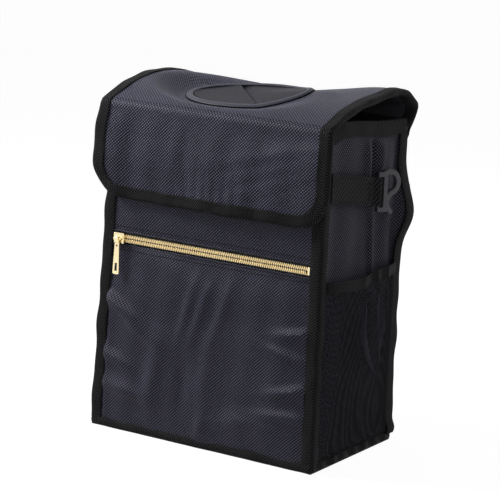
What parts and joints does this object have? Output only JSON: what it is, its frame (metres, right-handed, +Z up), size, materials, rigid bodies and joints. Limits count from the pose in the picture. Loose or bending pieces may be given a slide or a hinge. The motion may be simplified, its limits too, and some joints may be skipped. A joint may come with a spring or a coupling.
{
  "type": "car trash bin",
  "caption": "Soft-sided car trash bin with a hinged lid, slit rubber insert, front flap, zipped pocket, mesh side pockets, strap hooks and belt loops.",
  "frame": {"origin": "middle of the part's box on the floor plane", "axes": "+X to the right seen from the front, +Y towards the back, +Z up"},
  "size_m": [0.2444, 0.175, 0.3155],
  "materials": {
    "body_fabric": "matt coated weave, dark navy slate",
    "lid_fabric": "matt coated weave, dark navy slate",
    "board": "plain foamed board",
    "lining": "smooth waterproof film",
    "binding_tape": "matt ribbed tape",
    "webbing": "matt woven webbing",
    "mesh": "matt open mesh",
    "elastic": "matt ribbed elastic",
    "zip_cloth": "matt woven tape",
    "zip_metal": "pale gold, polished",
    "hook_plastic": "satin moulded plastic",
    "rubber": "matt soft rubber",
    "closure": "hook and loop pile"
  },
  "bodies": {
    "shell": {"base_panel": "body_fabric", "base_board": "board", "front_panel": "body_fabric", "front_board": "board", "pocket_panel": "body_fabric", "front_upper": "body_fabric", "back_panel": "body_fabric", "back_board": "board", "left_panel": "body_fabric", "right_panel": "body_fabric", "left_board": "board", "right_board": "board", "liner": "lining", "rim_binding": "binding_tape", "base_binding": "binding_tape", "corner_front_left": "binding_tape", "corner_front_right": "binding_tape", "corner_back_left": "binding_tape", "corner_back_right": "binding_tape", "zip_tape_lower": "zip_cloth", "zip_tape_upper": "zip_cloth", "zip_teeth_lower": "zip_metal", "zip_teeth_upper": "zip_metal", "zip_stops": "zip_metal", "mesh_pocket_left": "mesh", "mesh_pocket_right": "mesh", "pocket_band_left": "elastic", "pocket_band_right": "elastic", "strap_left": "webbing", "strap_right": "webbing", "back_strap": "webbing", "lid_seam": "binding_tape", "front_patches": "closure"},
    "lid": {"lid_top": "lid_fabric", "lid_board": "board", "lid_lining": "lining", "lid_binding": "binding_tape", "opening_ring": "rubber"},
    "flap": {"flap_panel": "lid_fabric", "flap_board": "board", "flap_lining": "lining", "flap_binding": "binding_tape", "flap_patches": "closure"},
    "leaf_left": {"leaf_left": "rubber"},
    "leaf_right": {"leaf_right": "rubber"},
    "slider": {"zip_slider": "zip_metal"},
    "pull": {"pull_tab": "zip_metal"},
    "hook_left": {"hook_left": "hook_plastic"},
    "hook_right": {"hook_right": "hook_plastic"}
  },
  "joints": [
    {"name": "lid_hinge", "type": "hinge", "parent": "shell", "child": "lid", "pos_m": [0, 0.069, 0.272], "axis": [-1, 0, 0], "range_deg": [0, 105]},
    {"name": "flap_fold", "type": "hinge", "parent": "lid", "child": "flap", "pos_m": [0, -0.0845, 0.2918], "axis": [-1, 0, 0], "range_deg": [0, 100]},
    {"name": "leaf_left_bend", "type": "hinge", "parent": "lid", "child": "leaf_left", "pos_m": [-0.02649, -0.03332, 0.29889], "axis": [-0.6606, 0.7441, 0.1001], "range_deg": [0, 60], "stiffness_Nm_per_rad": 0.012, "springref_deg": -5.73},
    {"name": "leaf_right_bend", "type": "hinge", "parent": "lid", "child": "leaf_right", "pos_m": [0.01249, 0.00032, 0.30616], "axis": [0.6606, -0.7441, -0.1001], "range_deg": [0, 60], "stiffness_Nm_per_rad": 0.012, "springref_deg": -5.73},
    {"name": "slider_run", "type": "slide", "parent": "shell", "child": "slider", "axis": [1, 0, 0], "range_m": [0, 0.1834]},
    {"name": "pull_swing", "type": "hinge", "parent": "slider", "child": "pull", "pos_m": [-0.09172, -0.08365, 0.173], "axis": [-1, 0, 0], "range_deg": [0, 130]},
    {"name": "hook_right_swing", "type": "hinge", "parent": "shell", "child": "hook_right", "pos_m": [0.1112, 0.0115, 0.23182], "axis": [0.0241, 0, -0.9997], "range_deg": [-20, 100]},
    {"name": "hook_left_swing", "type": "hinge", "parent": "shell", "child": "hook_left", "pos_m": [-0.1112, 0.0115, 0.23182], "axis": [0.0241, 0, 0.9997], "range_deg": [-20, 100]}
  ]
}
